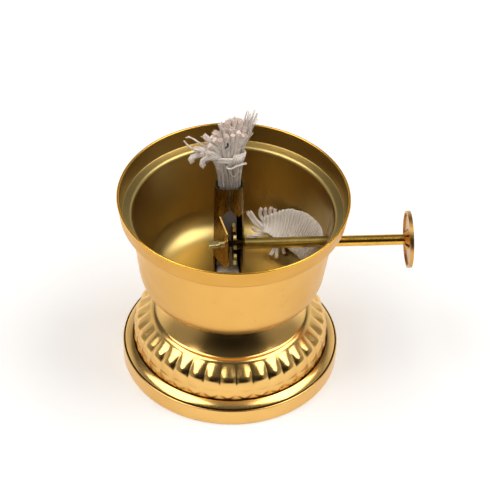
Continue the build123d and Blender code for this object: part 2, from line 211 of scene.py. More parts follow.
# Yarns that droop over the sleeve's left edge
drooping_yarns = [
    [
        (-2.4, -1.6, -4.0), (-2.8, -1.9, 0.6), (-4.3, -2.4, 1.5),
        (-7.2, -2.6, 1.6), (-8.9, -2.7, -0.4), (-7.9, -2.8, -2.1),
    ],
    [
        (-2.6, -0.8, -4.0), (-3.0, -0.9, 0.8), (-6.0, -1.0, 1.6),
        (-10.4, -1.0, 1.2), (-12.2, -1.0, -0.5), (-11.2, -1.0, -1.7),
    ],
]
# Tips of the fine threads that fan out on the right, and where they leave the sleeve
fine_tips = [
    (6.2, 3.0, 17.0), (7.2, 3.0, 15.4), (8.4, 2.6, 15.0), (7.7, 2.8, 13.4), (8.2, 2.4, 12.2),
    (5.4, 2.8, 13.6), (5.8, 2.6, 11.8), (7.0, 1.4, 10.0), (6.2, 0.6, 8.2), (5.0, 0.4, 11.0),
]
fine_root = (3.5, 1.0)
# Single threads that stand out on the left, and a fleck of dark thread
stray_threads = [
    [
        (-2.4, -0.4, -4.0), (-4.6, -0.5, 2.6), (-8.7, -0.5, 4.8),
        (-10.9, -0.5, 6.8), (-12.7, -0.5, 8.1), (-13.3, -0.5, 7.2),
    ],
    [(-2.4, -0.8, -4.0), (-4.6, -0.9, 1.4), (-8.9, -1.0, 2.0), (-12.2, -1.0, 4.0), (-13.9, -1.0, 6.8)],
]
fleck_path = [(-1.1, -2.9, 6.9), (-0.8, -3.0, 6.2), (-1.0, -3.0, 5.5), (-1.8, -2.9, 5.0)]

# Tail: its route in metres, and along it the degrees that it stands on edge, and in millimetres its half
# width, how far its edges curl up and the gap between its cross threads
tail_route = [
    (-0.0009, 0.0054, 0.0293), (-0.0013, -0.0010, 0.0292), (-0.0009, -0.0074, 0.0293),
    (0.0028, -0.0135, 0.0298), (0.0095, -0.0167, 0.0314), (0.0174, -0.0161, 0.0340),
    (0.0234, -0.0117, 0.0364), (0.0260, -0.0046, 0.0374), (0.0258, 0.0044, 0.0378),
    (0.0221, 0.0124, 0.0374), (0.0164, 0.0172, 0.0360), (0.0112, 0.0188, 0.0348),
]
tail_stand = [0, 0, 3, 14, 40, 66, 76, 74, 64, 56, 50, 46]
tail_half_width = [3.4, 3.6, 4.0, 4.0, 3.7, 3.5, 3.7, 4.5, 5.7, 6.6, 6.0, 2.2]
tail_curl = [0, 0, 0, 0, 0, 0, 0, 0, 0.3, 0.9, 1.8, 2.2]
tail_thread_gap = [0.8, 0.8, 0.8, 0.8, 0.8, 0.8, 0.8, 0.8, 0.84, 0.92, 1.05, 1.2]
tail_half_depth = 0.8 * MM
tail_wave = 0.03
tail_wave_rates = (0.43, 0.19)
tail_columns = 28
curl_level = 0.4
weave_steps = 24
weave_width, weave_depth = 0.99, 1.08
# Loose yarns at the tail's frayed end, in millimetres
fray_yarns = [
    [
        (19.6, 14.8, 33.2), (17.3, 15.6, 32.8), (14.3, 16.6, 32.9), (11.7, 17.8, 33.2),
        (9.5, 19.0, 34.0), (7.6, 20.0, 35.5), (5.8, 21.0, 38.7),
    ],
    [
        (18.6, 15.0, 34.2), (16.4, 16.0, 33.6), (13.6, 17.2, 33.6),
        (11.2, 18.4, 34.2), (9.1, 19.6, 35.2), (6.6, 21.2, 38.9),
    ],
    [(14.6, 17.8, 34.6), (12.0, 19.2, 34.0), (10.3, 19.8, 34.5), (8.9, 20.4, 35.3), (7.7, 21.0, 37.1)],
    [(13.6, 17.4, 33.0), (11.3, 17.6, 32.6), (9.4, 17.8, 32.8), (8.1, 18.0, 33.4), (7.3, 18.4, 34.6)],
    [(14.2, 17.2, 33.4), (11.3, 17.2, 33.2), (9.9, 16.8, 32.4), (8.0, 16.6, 32.1), (5.7, 17.0, 32.1)],
    [
        (14.8, 18.6, 35.8), (12.9, 19.0, 35.1), (11.4, 19.6, 35.4),
        (10.4, 20.6, 36.4), (9.8, 21.2, 37.9), (10.4, 21.0, 39.9),
    ],
    [
        (16.4, 18.2, 36.6), (14.9, 18.8, 36.0), (13.4, 19.4, 36.4),
        (12.2, 20.4, 36.6), (11.4, 21.0, 37.9), (11.8, 20.8, 40.0),
    ],
    [
        (18.0, 18.0, 37.6), (16.6, 18.8, 37.2), (14.9, 19.4, 37.2),
        (13.5, 20.2, 37.2), (12.8, 20.8, 38.4), (13.5, 20.6, 40.5),
    ],
    [(18.4, 18.0, 38.2), (17.3, 18.8, 37.8), (15.5, 19.4, 37.7), (14.4, 20.2, 38.3), (14.6, 20.6, 39.8)],
    [(15.6, 14.6, 32.8), (14.8, 13.5, 32.0), (14.0, 12.6, 30.6), (13.7, 12.3, 29.6), (12.8, 11.1, 28.9)],
    [(16.0, 14.6, 32.8), (15.2, 13.5, 32.0), (14.7, 12.3, 30.6), (14.8, 11.3, 29.4), (14.6, 9.7, 28.9)],
    [(16.8, 14.4, 32.8), (16.4, 13.5, 32.0), (16.7, 12.4, 30.4), (17.2, 11.4, 29.0)],
]

random.seed(7)


def rgb(hex_colour):
    """An sRGB hex value as linear red, green, blue and alpha."""
    parts = [int(hex_colour[i:i + 2], 16) / 255 for i in (1, 3, 5)]
    return [c / 12.92 if c <= 0.04045 else ((c + 0.055) / 1.055) ** 2.4 for c in parts] + [1.0]


def add(tree, kind, links=(), **settings):
    """Adds a node, whose kind is named without its family; settings are its properties.

    links are its inputs, in their order or by key: each a value, a socket, or a node for its first output.
    """
    families = ("ShaderNode", "GeometryNode", "FunctionNode", "")
    made = tree.nodes.new(next(family + kind for family in families if hasattr(bpy.types, family + kind)))
    for name, value in settings.items():
        setattr(made, name, value)
    for key, value in links.items() if isinstance(links, dict) else enumerate(links):
        if isinstance(value, bpy.types.Node):
            value = value.outputs[0]
        if isinstance(value, bpy.types.NodeSocket):
            tree.links.new(value, made.inputs[key])
        else:
            made.inputs[key].default_value = value
    return made


def emptied(block):
    """What adds nodes to a new material or world, which has none."""
    block.use_nodes = True
    block.node_tree.nodes.clear()
    return partial(add, block.node_tree)


def new_material(name):
    """An empty material, what adds its nodes, and the piece's own coordinates."""
    made = bpy.data.materials.new(name)
    node = emptied(made)
    return made, node, node("TexCoord").outputs["Object"]


def surfaced(made, node, links):
    """Ends a material with a shader that has these inputs."""
    node("OutputMaterial", {"Surface": node("BsdfPrincipled", links)})
    return made


def set_stops(ramp, stops):
    """Fills a colour ramp; stops are (place, colour)."""
    while len(ramp.elements) < len(stops):
        ramp.elements.new(0.5)
    for element, (place, colour) in zip(ramp.elements, stops):
        element.position = place
        element.color = colour


# Inputs by number: 6 and 7 are the two colours of a Mix, 1 to 4 what a MapRange goes from and to
# Sizes of what the metals and cottons show, in millimetres
tone_patch = 9.0
speck_gap = 2.6
oxide_patch = 3.5
highlight_edge = 0.4
rod_line, rod_patch = 0.3, 2.5
yarn_patch = 1.4
metal_relief = 0.02 * MM
cotton_relief = 0.05 * MM


def metal(made, node, tone, rough, height, bump):
    """Ends a metal's material with its colour, its roughness and a relief by height."""
    relief = node("Bump", {"Strength": bump, "Distance": metal_relief, "Height": height})
    return surfaced(made, node, {"Metallic": 1.0, "Base Color": tone, "Roughness": rough, "Normal": relief})


def spun_metal(name, colour, dull, roughness, spread, ring=0.5, grain=0.25, bump=0.25, specks=0.0):
    """Metal turned on a lathe: rings round +Z, a fine grain, slow changes of tone and some specks.

    ring and grain are sizes in millimetres, spread is how far the roughness varies.
    """
    made, node, place = new_material(name)
    cloud = node("TexNoise", {"Vector": place, "Scale": 1 / (tone_patch * MM), "Detail": 4.0})
    fine = node("TexNoise", {"Vector": place, "Scale": 1 / (grain * MM), "Detail": 3.0})
    parts = node("SeparateXYZ", (place,)).outputs
    across = node("CombineXYZ", (parts[0], parts[1]))
    radius = node("VectorMath", (across,), operation="LENGTH").outputs["Value"]
    ring_place = node("CombineXYZ", {0: radius, 2: parts[2]})
    rings = node("TexNoise", {"Vector": ring_place, "Scale": 1 / (ring * MM), "Detail": 2.0})
    tone = node("Mix", {"Factor": cloud, 6: rgb(colour), 7: rgb(dull)}, data_type="RGBA").outputs[2]
    spots = node("TexVoronoi", {"Vector": place, "Scale": 1 / (speck_gap * MM), "Randomness": 1.0})
    speck = node("Math", (spots.outputs["Distance"], specks), operation="LESS_THAN")
    tone = node("Mix", {"Factor": speck, 6: tone, 7: rgb("#4a3215")}, data_type="RGBA").outputs[2]
    rough = node("MapRange", {"Value": cloud, 1: 0.3, 2: 0.7, 3: roughness - spread, 4: roughness + spread})
    height = node("Math", (rings, fine), operation="ADD")
    return metal(made, node, tone, rough, height, bump)


def drawn_metal(name, colour, dull, roughness, line, bump, stretch=(1, 1, 1), painted_highlight=None):
    """Rolled or drawn brass: lines of a size in millimetres along stretch's long axis, and patches of oxide.

    The last argument gives the colour of a painted highlight and how far from the spindle's axis it starts
    to show, in millimetres.
    """
    made, node, place = new_material(name)
    stretched = node("Mapping", {"Vector": place, "Scale": stretch})
    lines = node("TexNoise", {"Vector": stretched, "Scale": 1 / (line * MM), "Detail": 3.0})
    cloud = node("TexNoise", {"Vector": place, "Scale": 1 / (oxide_patch * MM), "Detail": 5.0})
    tone = node("Mix", {"Factor": cloud, 6: rgb(colour), 7: rgb(dull)}, data_type="RGBA").outputs[2]
    # A painted highlight, from a distance off the spindle's axis outwards
    if painted_highlight:
        highlight_colour, start = painted_highlight
        axis = (0, 0, -spindle_height)
        from_axis = node("Mapping", {"Vector": place, "Location": axis, "Scale": (0, 1, 1)})
        reach = node("VectorMath", (from_axis,), operation="LENGTH").outputs["Value"]
        share = node("MapRange", {"Value": reach, 1: start * MM, 2: (start + highlight_edge) * MM})
        tone = node("Mix", {"Factor": share, 6: tone, 7: rgb(highlight_colour)}, data_type="RGBA").outputs[2]
    rough = node("MapRange", {"Value": lines, 1: 0.3, 2: 0.7, 3: roughness * 0.75, 4: roughness * 1.3})
    return metal(made, node, tone, rough, lines, bump)


def rod_metal(name, zones):
    """Drawn brass rod whose finish changes along +X: zones are (start in mm, colour, roughness)."""
    made, node, place = new_material(name)
    along = node("SeparateXYZ", (place,))
    first, last = zones[0][0], zones[-1][0]
    share = node("MapRange", {"Value": along, 1: first * MM, 2: last * MM})
    finish = node("ValToRGB", (share,))
    finish.color_ramp.interpolation = "CONSTANT"
    set_stops(finish.color_ramp, [
        ((start - first) / (last - first), (*rgb(colour)[:3], rough)) for start, colour, rough in zones
    ])
    stretched = node("Mapping", {"Vector": place, "Scale": (0.08, 1, 1)})
    lines = node("TexNoise", {"Vector": stretched, "Scale": 1 / (rod_line * MM), "Detail": 3.0})
    cloud = node("TexNoise", {"Vector": place, "Scale": 1 / (rod_patch * MM), "Detail": 4.0})
    dull = node("MapRange", {"Value": cloud, 1: 0.35, 2: 0.75, 3: 1.0, 4: 0.72})
    tone = node("VectorMath", {0: finish, "Scale": dull}, operation="SCALE")
    spread = node("MapRange", {"Value": lines, 1: 0.3, 2: 0.7, 3: 0.85, 4: 1.15})
    rough = node("Math", (finish.outputs["Alpha"], spread), operation="MULTIPLY")
    return metal(made, node, tone, rough, lines, bump=0.08)


def cotton(name, pale, deep, cut, fibre, bump, painted_shade=None):
    """Undyed cotton: matt, its tone varying at random from pale to browner, with painted shade towards each
    yarn's root and its own tint where it is cut.

    fibre is a size in millimetres. The last argument gives the colour of a painted shade below a height, and
    the heights where it starts and where it is darkest.
    """
    made, node, place = new_material(name)
    tone = node("Attribute", attribute_name="tone").outputs["Fac"]
    tip = node("Attribute", attribute_name="tip").outputs["Fac"]
    cloud = node("TexNoise", {"Vector": place, "Scale": 1 / (yarn_patch * MM), "Detail": 4.0})
    depth = node("Math", (tone, cloud), operation="MULTIPLY")
    # Painted shade towards each yarn's root, where the yarns shade each other
    root_painted_shade = node("MapRange", {"Value": tip, 1: 0.35, 2: 0.85, 3: 0.3, 4: 0.0})
    depth = node("Math", (depth, root_painted_shade), operation="ADD", use_clamp=True)
    colour = node("Mix", {"Factor": depth, 6: rgb(pale), 7: rgb(deep)}, data_type="RGBA").outputs[2]
    near_cut = node("MapRange", {"Value": tip, 1: 0.8, 2: 0.97})
    colour = node("Mix", {"Factor": near_cut, 6: colour, 7: rgb(cut)}, data_type="RGBA").outputs[2]
    # Painted shade: darker towards the bottom, where the sleeve goes into the tube
    if painted_shade:
        shade_colour, shade_start, shade_full = painted_shade
        height = node("SeparateXYZ", (place,)).outputs[2]
        dark = node("MapRange", {"Value": height, 1: shade_start * MM, 2: shade_full * MM, 3: 0.0, 4: 0.8})
        patchy = node("Math", (dark, cloud), operation="MULTIPLY")
        patchy = node("Math", (patchy, 1.6), operation="MULTIPLY", use_clamp=True)
        colour = node("Mix", {"Factor": patchy, 6: colour, 7: rgb(shade_colour)}, data_type="RGBA").outputs[2]
    hairs = node("TexNoise", {"Vector": place, "Scale": 1 / (fibre * MM), "Detail": 3.0})
    relief = node("Bump", {"Strength": bump, "Distance": cotton_relief, "Height": hairs})
    return surfaced(made, node, {
        "Base Color": colour, "Roughness": 0.95, "Specular IOR Level": 0.2,
        "Sheen Weight": 0.3, "Sheen Roughness": 0.5, "Normal": relief,
    })


# Spun brass under gold lacquer: an even satin that shows only broad soft reflections
satin_gold = spun_metal(
    "satin_gold_lacquer", "#e6b664", "#dfab57", roughness=0.36, spread=0.04, specks=0.045,
)
# The same lacquer on the band under the lip, painted a deeper orange: a painted darker reflection
band_painted_reflection = spun_metal(
    "thick_band_lacquer", "#dca852", "#d49e48", roughness=0.36, spread=0.04, specks=0.045,
)
# A painted highlight on the bowl's lip: a thin bright yellow line
lip_painted_highlight = spun_metal("pooled_lip_lacquer", "#f8be4e", "#f0b040", roughness=0.22, spread=0.03, bump=0.1)
# The same bowl's bare inside: paler, olive brass with soft glows from the lamps
bare_brass = spun_metal(
    "bare_brass_inside", "#c2a868", "#b69b5c", roughness=0.34, spread=0.02,
    ring=0.6, grain=0.3, bump=0.004, specks=0.012,
)
# Pressed brass under gold lacquer: brighter, with clear reflections along the gadroons
pressed_gold = spun_metal(
    "pressed_gold_lacquer", "#eec478", "#e4b264", roughness=0.19, spread=0.03,
    ring=0.8, grain=0.3, bump=0.12, specks=0.02,
)
# Painted shade in the foot's two creases: thin dark lines beside the bead
crease_painted_shade = spun_metal("settled_crease_grime", "#4a3418", "#38260f", roughness=0.6, spread=0.05, bump=0.1)
# Rolled brass sheet, bare: dark and brown from smoke, with lines from the rollers
rolled_brass = drawn_metal(
    "rolled_brass_sheet", "#b08c48", "#745828", roughness=0.26, line=0.3, bump=0.06, stretch=(1, 1, 0.12),
)
# The feed wheel's brass: near black, painted shade between the ears, with a painted highlight on the teeth
wheel_brass = drawn_metal(
    "sooty_wheel_brass", "#3a2c18", "#1e160c", roughness=0.4, line=0.3, bump=0.15, painted_highlight=("#e4c880", 5.3),
)
# The spindle's brass: a painted highlight at the crimp, painted shade between the ears, dull in the bowl,
# lacquered outside
rod_brass = rod_metal("drawn_brass_rod", [
    (-10.0, "#f4e2a6", 0.42), (-2.0, "#4a3818", 0.35), (3.4, "#c8aa5e", 0.32),
    (31.0, "#f4bc50", 0.2), (60.0, "#f4bc50", 0.2),
])
# The knob's brass under gold lacquer: orange gold with a pinkish face
knob_brass = drawn_metal("lacquered_knob_brass", "#d6a862", "#c6934e", roughness=0.3, line=0.4, bump=0.1)
# Zinc plated steel: dull grey, hidden under the foot
zinc_steel = drawn_metal("zinc_plated_steel", "#b9bbb8", "#8f918e", roughness=0.4, line=0.4, bump=0.2)
# Cotton yarn of the wick, loose and pale, pinkish where it is cut
wick_cotton = cotton("cotton_wick_yarn", "#fcf5eb", "#cbb6a5", "#efdccf", fibre=0.18, bump=0.3)
# Woven cotton of the wick's tail, a little greyer
woven_cotton = cotton("woven_cotton_tail", "#f1e8db", "#b7a593", "#efe6da", fibre=0.3, bump=0.4)
# The same weave where it comes out of the tube, grey, with painted shade below near the tube
sleeve_cotton = cotton(
    "sooty_sleeve_cotton", "#efe7dc", "#9d8b7c", "#f3ece2", fibre=0.3, bump=0.4,
    painted_shade=("#565150", 66.0, 62.6),
)
# Backing between the sleeve's threads, in their shade
shaded_cotton = cotton("shaded_sleeve_cotton", "#c9beb6", "#a1958d", "#c9beb6", fibre=0.3, bump=0.4)
# A fleck of dark thread that is caught in the wick
dark_thread = cotton("dark_blue_thread", "#3c3c4c", "#2a2a36", "#3c3c4c", fibre=0.2, bump=0.2)


def arc(start, end, bulge, steps):
    """Points of an arc after start up to end; a positive bulge lies to the left of the way."""
    a, b = complex(*start), complex(*end)
    half = abs(b - a) / 2
    radius = (half**2 + bulge**2) / (2 * bulge)
    centre = (a + b) / 2 + 1j * (b - a) / abs(b - a) * (bulge - radius)
    sweep = -2 * math.copysign(math.asin(min(1.0, half / abs(radius))), bulge)
    points = [centre + (a - centre) * cmath.exp(1j * sweep * k / steps) for k in range(1, steps + 1)]
    return [(p.real, p.imag) for p in points]


def run(start, end, steps):
    """Points of a straight run after start up to end."""
    return [tuple(s + (e - s) * k / steps for s, e in zip(start, end)) for k in range(1, steps + 1)]


def rounded(corners, radii, steps):
    """Points of a polyline whose inner corners are rounded, one radius each."""
    points = [corners[0]]
    for before, corner, after, radius in zip(corners, corners[1:], corners[2:], radii):
        c = complex(*corner)
        back = (complex(*before) - c) / abs(complex(*before) - c)
        on = (complex(*after) - c) / abs(complex(*after) - c)
        opening = abs(cmath.phase(on / back))
        reach = radius / math.tan(opening / 2)
        side = math.copysign(1.0, (on / back).imag)
        first, last = c + back * reach, c + on * reach
        points.append((first.real, first.imag))
        bulge = side * radius * (1 - math.sin(opening / 2))
        points += arc((first.real, first.imag), (last.real, last.imag), bulge, steps)
    return points + [corners[-1]]


def moved_in(corners, sheet):
    """The corners of a line that runs one sheet to the left of a polyline."""
    line = [complex(*c) for c in corners]
    sides = [1j * ((b - a) / abs(b - a)) for a, b in zip(line, line[1:])]
    offsets = [sides[0]]
    for one, two in zip(sides, sides[1:]):
        offsets.append((one + two) / (1 + (one * two.conjugate()).real))
    offsets.append(sides[-1])
    return [((c + sheet * s).real, (c + sheet * s).imag) for c, s in zip(line, offsets)]


def new_tree(name, inputs):
    """A Geometry Nodes tree with inputs as (name, kind), what adds its nodes, and the inputs' sockets."""
    tree = bpy.data.node_groups.new(name, "GeometryNodeTree")
    for socket, kind in inputs:
        tree.interface.new_socket(socket, in_out="INPUT", socket_type="NodeSocket" + kind)
    tree.interface.new_socket("Form", in_out="OUTPUT", socket_type="NodeSocketGeometry")
    node = partial(add, tree)
    return tree, node, node("NodeGroupInput").outputs


def end_tree(node, form, finish):
    """Ends a tree with a smooth plain mesh that has its finish."""
    smooth = node("SetShadeSmooth", {"Geometry": form})
    real = node("RealizeInstances", {"Geometry": smooth})
    node("NodeGroupOutput", (node("SetMaterial", {"Geometry": real, "Material": finish}),))


# What each point of a half section carries: the way out, and a lobe's width and lift there
least_width = 0.001
section_fields = (("outward", "FLOAT_VECTOR"), ("lobe_width", "FLOAT"), ("lobe_lift", "FLOAT"))


def turned_tree():
    """Geometry Nodes: turns a half section round +Z, one row for each of its points, with raised lobes."""
    tree, node, given = new_tree("turned_form", [
        ("Section", "Geometry"), ("Columns", "Int"), ("Lobes", "Int"), ("Finish", "Material"),
    ])
    section = given["Section"]
    rows = node("AttributeDomainSize", {"Geometry": section}).outputs["Point Count"]
    lines = node("Math", (given["Columns"], 1.0), operation="ADD")
    grid = node("MeshGrid", {"Vertices X": lines, "Vertices Y": rows})
    index = node("InputIndex")
    row = node("Math", (index, rows), operation="MODULO")
    counted = node("Math", (index, row), operation="SUBTRACT")
    column = node("Math", (counted, rows), operation="DIVIDE")
    turn = node("Math", (column, given["Columns"]), operation="DIVIDE")
    fields = {"place": ("FLOAT_VECTOR", node("InputPosition"))}
    for name, kind in section_fields:
        fields[name] = kind, node("InputNamedAttribute", {"Name": name}, data_type=kind)
    at_row = {}
    for name, (kind, field) in fields.items():
        sample = {"Geometry": section, "Value": field, "Index": row}
        at_row[name] = node("SampleIndex", sample, data_type=kind, domain="POINT")
    lobe = node("Math", (turn, given["Lobes"]), operation="MULTIPLY")
    within = node("Math", (lobe,), operation="FRACT")
    off_middle = node("Math", (within, 0.5), operation="SUBTRACT")
    side = node("Math", (off_middle,), operation="ABSOLUTE")
    width = node("Math", (at_row["lobe_width"], least_width), operation="MAXIMUM")
    half_width = node("Math", (width, 0.5), operation="MULTIPLY")
    share = node("Math", (side, half_width), operation="DIVIDE")
    squared = node("Math", (share, share), operation="MULTIPLY")
    left = node("Math", (1.0, squared), operation="SUBTRACT")
    arch = node("Math", (left, 0.0), operation="MAXIMUM")
    lift = node("Math", (arch, at_row["lobe_lift"]), operation="MULTIPLY")
    raised = node("VectorMath", {0: at_row["outward"], "Scale": lift}, operation="SCALE")
    moved = node("VectorMath", (at_row["place"], raised), operation="ADD")
    angle = node("Math", (turn, math.tau), operation="MULTIPLY")
    place = node("VectorRotate", {"Vector": moved, "Angle": angle}, rotation_type="Z_AXIS")
    placed = node("SetPosition", {"Geometry": grid, "Position": place})
    closed = node("MergeByDistance", {"Geometry": placed, "Distance": merge_distance})
    end_tree(node, closed, given["Finish"])
    return tree


# Size in millimetres of the noise that a fibre wanders by, how far apart fibres are in it, least thinning
wander_size = 2.5
fibre_apart = 7.31
least_end = 0.04


def yarn_tree():
    """Geometry Nodes: spins fibres round each path, with twist, wander and a ragged far end."""
    counts = ("Steps", "Fibres", "Sides", "Seed")
    measures = ("Root radius", "Tip radius", "Fibre radius", "Twist", "Wander", "Ragged", "Blunt")
    tree, node, given = new_tree("spun_yarn", [
        ("Paths", "Geometry"), *[(name, "Int") for name in counts],
        *[(name, "Float") for name in measures], ("Finish", "Material"),
    ])
    even = node("ResampleCurve", {"Curve": given["Paths"], "Count": given["Steps"]})
    copies = node("DuplicateElements", {"Geometry": even, "Amount": given["Fibres"]}, domain="SPLINE")
    number = copies.outputs["Duplicate Index"]
    along = node("SplineParameter").outputs
    counted = node("Math", (number, 0.5), operation="ADD")
    share = node("Math", (counted, given["Fibres"]), operation="DIVIDE")
    inner = node("Math", (share,), operation="SQRT")
    wide = node("MapRange", {"Value": along["Factor"], 3: given["Root radius"], 4: given["Tip radius"]})
    off = node("Math", (inner, wide), operation="MULTIPLY")
    golden = node("Math", (number, golden_angle), operation="MULTIPLY")
    wound = node("Math", (along["Length"], given["Twist"]), operation="MULTIPLY")
    angle = node("Math", (golden, wound), operation="ADD")
    normal = node("InputNormal")
    tangent = node("InputTangent")
    turn = {"Vector": normal, "Axis": tangent, "Angle": angle}
    way = node("VectorRotate", turn, rotation_type="AXIS_ANGLE")
    out = node("VectorMath", {0: way, "Scale": off}, operation="SCALE")
    place = node("InputPosition")
    own = node("Math", (number, fibre_apart), operation="MULTIPLY")
    noise = node(
        "TexNoise", {"Vector": place, "W": own, "Scale": 1 / (wander_size * MM), "Detail": 1.0},
        noise_dimensions="4D",
    ).outputs["Color"]
    centred = node("VectorMath", (noise, (0.5, 0.5, 0.5)), operation="SUBTRACT")
    roam = node("Math", (along["Factor"], given["Wander"]), operation="MULTIPLY")
    drift = node("VectorMath", {0: centred, "Scale": roam}, operation="SCALE")
    offset = node("VectorMath", (out, drift), operation="ADD")
    loose = node("SetPosition", {"Geometry": copies, "Offset": offset})
    index = node("InputIndex")
    fibre = node("FieldOnDomain", {"Value": index}, data_type="INT", domain="CURVE")
    drawn = []
    for most in (given["Ragged"], 1.0):
        limits = {2: 0.0, 3: most, "ID": fibre, "Seed": given["Seed"]}
        drawn.append(node("RandomValue", limits, data_type="FLOAT").outputs[1])
    cut, shade = drawn
    end = node("Math", (1.0, cut), operation="SUBTRACT")
    form = node("TrimCurve", {"Curve": loose}, mode="FACTOR")
    tree.links.new(end.outputs[0], next(s for s in form.inputs if s.name == "End" and s.enabled))
    for name, value in (("tone", shade), ("tip", along["Factor"])):
        stored = {"Geometry": form, "Name": name, "Value": value}
        form = node("StoreNamedAttribute", stored, data_type="FLOAT", domain="POINT")
    to_end = node("Math", (1.0, along["Factor"]), operation="SUBTRACT")
    to_end = node("Math", (to_end, given["Blunt"]), operation="DIVIDE")
    to_end = node("Math", (to_end, 1.0), operation="MINIMUM")
    to_end = node("Math", (to_end, least_end), operation="MAXIMUM")
    rounding = node("Math", (to_end,), operation="SQRT")
    form = node("SetCurveRadius", {"Curve": form, "Radius": rounding})
    size = {"Resolution": given["Sides"], "Radius": given["Fibre radius"]}
    profile = node("CurvePrimitiveCircle", size, mode="RADIUS")
    tubes = node("CurveToMesh", {"Curve": form, "Profile Curve": profile, "Fill Caps": True})
    end_tree(node, tubes, given["Finish"])
    return tree


turned_form = turned_tree()
spun_yarn = yarn_tree()


def linked(name, data):
    """A new object in the scene, at the origin."""
    made = bpy.data.objects.new(name, data)
    bpy.context.scene.collection.objects.link(made)
    return made


def as_mesh(work, name):
    """A new mesh of what is in a bmesh, which is then freed."""
    mesh = bpy.data.meshes.new(name)
    work.to_mesh(mesh)
    work.free()
    return mesh


def shown_mesh(obj):
    """The plain mesh that an object gives with its modifiers."""
    return bpy.data.meshes.new_from_object(obj.evaluated_get(bpy.context.evaluated_depsgraph_get()))


def finished(mesh, *finishes):
    """Gives a mesh these materials and no others."""
    mesh.materials.clear()
    for finish in finishes:
        mesh.materials.append(finish)
    return mesh


def grown(obj, tree, **inputs):
    """Runs a tree on obj with the named inputs and returns the mesh that it gives."""
    modifier = obj.modifiers.new("form", "NODES")
    modifier.node_group = tree
    for item in tree.interface.items_tree:
        key = item.name.lower().replace(" ", "_")
        if item.in_out == "INPUT" and key in inputs:
            modifier[item.identifier] = inputs[key]
    mesh = shown_mesh(obj)
    bpy.data.objects.remove(obj)
    return finished(mesh, inputs["finish"])


def outward_faces(mesh):
    """Points a closed mesh's faces outwards."""
    work = bmesh.new()
    work.from_mesh(mesh)
    bmesh.ops.remove_doubles(work, verts=work.verts, dist=merge_distance)
    bmesh.ops.recalc_face_normals(work, faces=work.faces)
    work.to_mesh(mesh)
    work.free()
    return mesh


def turned(name, section, columns, finish, lobes=1, lobe_at=None):
    """A closed form turned round +Z from a half section; lobe_at gives (width share, lift) for a point."""
    mesh = bpy.data.meshes.new(name + "_section")
    mesh.from_pydata([(r, 0, z) for r, z in section], [(i, i + 1) for i in range(len(section) - 1)], [])
    for attribute, kind in section_fields:
        mesh.attributes.new(attribute, kind, "POINT")
    line = [complex(*p) for p in section]
    for i in range(len(section)):
        way = line[min(i + 1, len(line) - 1)] - line[max(i - 1, 0)]
        side = 1j * way / (abs(way) or 1.0)
        width, lift = lobe_at(i) if lobe_at else (0.0, 0.0)
        mesh.attributes["outward"].data[i].vector = (side.real, 0, side.imag)
        mesh.attributes["lobe_width"].data[i].value = width
        mesh.attributes["lobe_lift"].data[i].value = lift
    made = grown(linked(name, mesh), turned_form, columns=columns, lobes=lobes, finish=finish)
    return linked(name, outward_faces(made))


def route(name, paths, resolution):
    """An object with a smooth line along each path."""
    curve = bpy.data.curves.new(name, "CURVE")
    curve.dimensions = "3D"
    for path in paths:
        spline = curve.splines.new("NURBS")
        spline.points.add(len(path) - 1)
        for point, place in zip(spline.points, path):
            point.co = (*place, 1.0)
        spline.order_u = 3
        spline.use_endpoint_u = True
        spline.resolution_u = resolution
    return linked(name, curve)


def spun(name, paths, finish, radii, fibre, wander=0.0, twist=0.0, ragged=0.0, blunt=0.05, sides=4, **more):
    """The mesh of yarns along smooth paths; more is their steps, fibres and seed.

    radii of the yarn at its root and its tip, the fibre's radius and wander are in millimetres.
    """
    return grown(
        route(name, paths, 8), spun_yarn, finish=finish, sides=sides,
        root_radius=radii[0] * MM, tip_radius=radii[1] * MM, fibre_radius=fibre * MM,
        twist=twist, wander=wander * MM, ragged=ragged, blunt=blunt, **more,
    )


def joined(name, meshes):
    """One object of several meshes, each with its own materials."""
    work = bmesh.new()
    finishes = []
    for mesh in meshes:
        first = len(work.faces)
        work.from_mesh(mesh)
        work.faces.ensure_lookup_table()
        finishes += [finish for finish in mesh.materials if finish not in finishes]
        own = [finishes.index(finish) for finish in mesh.materials]
        for face in work.faces[first:]:
            face.material_index = own[face.material_index]
    whole = as_mesh(work, name)
    for finish in finishes:
        whole.materials.append(finish)
    return linked(name, whole)


def lofted(name, rings, finish):
    """An object with a closed mesh through rings of points, with both ends filled."""
    work = bmesh.new()
    made = [[work.verts.new(p) for p in ring] for ring in rings]
    count = len(rings[0])
    for low, high in zip(made, made[1:]):
        for k in range(count):
            work.faces.new((low[k], low[(k + 1) % count], high[(k + 1) % count], high[k]))
    work.faces.new(reversed(made[0]))
    work.faces.new(made[-1])
    bmesh.ops.recalc_face_normals(work, faces=work.faces)
    for face in work.faces:
        face.smooth = True
    return linked(name, finished(as_mesh(work, name), finish))


def oval(centre, across, deep, half_width, half_depth, count, power=2.6, curl=0.0):
    """Points of a rounded oval round centre; curl lifts its two edges along deep, as in a gutter."""
    points = []
    for k in range(count):
        angle = math.tau * k / count
        c, s = math.cos(angle), math.sin(angle)
        x = math.copysign(abs(c) ** (2 / power), c)
        y = math.copysign(abs(s) ** (2 / power), s)
        bend = curl * (x * x - curl_level)
        points.append(centre + across * x * half_width + deep * (y * half_depth + bend))
    return points


def value_at(values, share):
    """The value at a share of the way along an evenly spaced list."""
    place = share * (len(values) - 1)
    low = min(int(place), len(values) - 2)
    return values[low] + (values[low + 1] - values[low]) * (place - low)


def ramp_up(value, start, length):
    """How far a value is along a stretch, from 0 before it to 1 after it."""
    return max(0.0, min(1.0, (value - start) / length))


